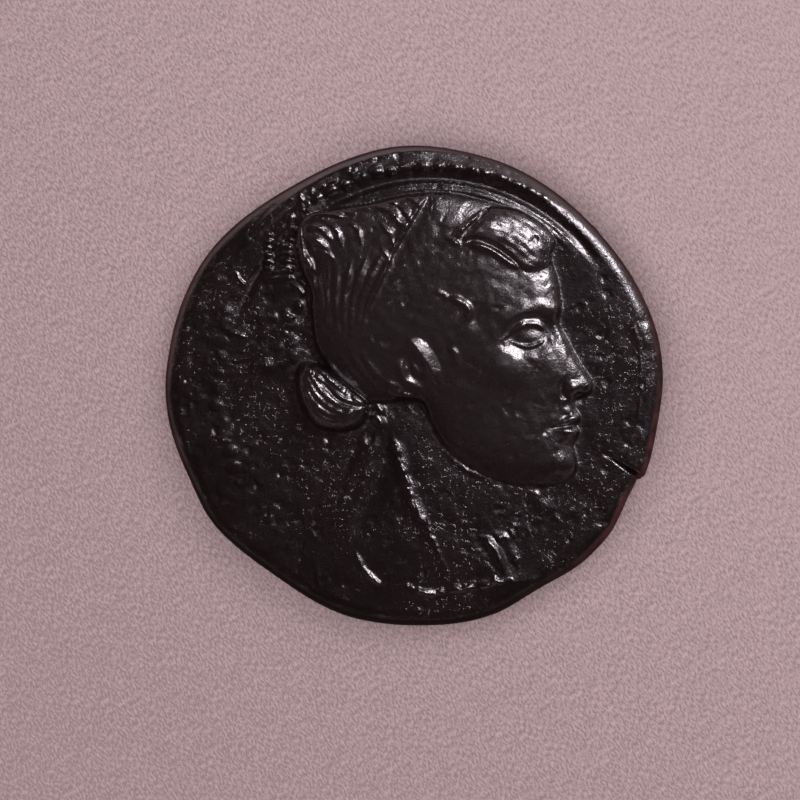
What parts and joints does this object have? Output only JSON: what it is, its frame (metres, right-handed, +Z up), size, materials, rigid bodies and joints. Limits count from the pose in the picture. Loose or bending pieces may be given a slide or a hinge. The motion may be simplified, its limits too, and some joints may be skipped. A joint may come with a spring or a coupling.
{
  "type": "ancient coin",
  "caption": "Struck bronze coin with an uneven round flan, a draped bust in high relief in a beaded ring, a cracked edge and a plainer reverse with a standing bird.",
  "frame": {"origin": "on the surface that the coin lies on, under the middle of its outline", "axes": "+Z up out of the portrait side, +Y towards the top of the portrait's head, +X the way the portrait faces"},
  "size_m": [0.027, 0.026, 0.0046],
  "materials": {
    "bronze": "dark brown patina, worn smooth and satin on the high points, granular in the field, redder on the edge"
  },
  "bodies": {
    "root": {"coin": "bronze"}
  },
  "joints": []
}
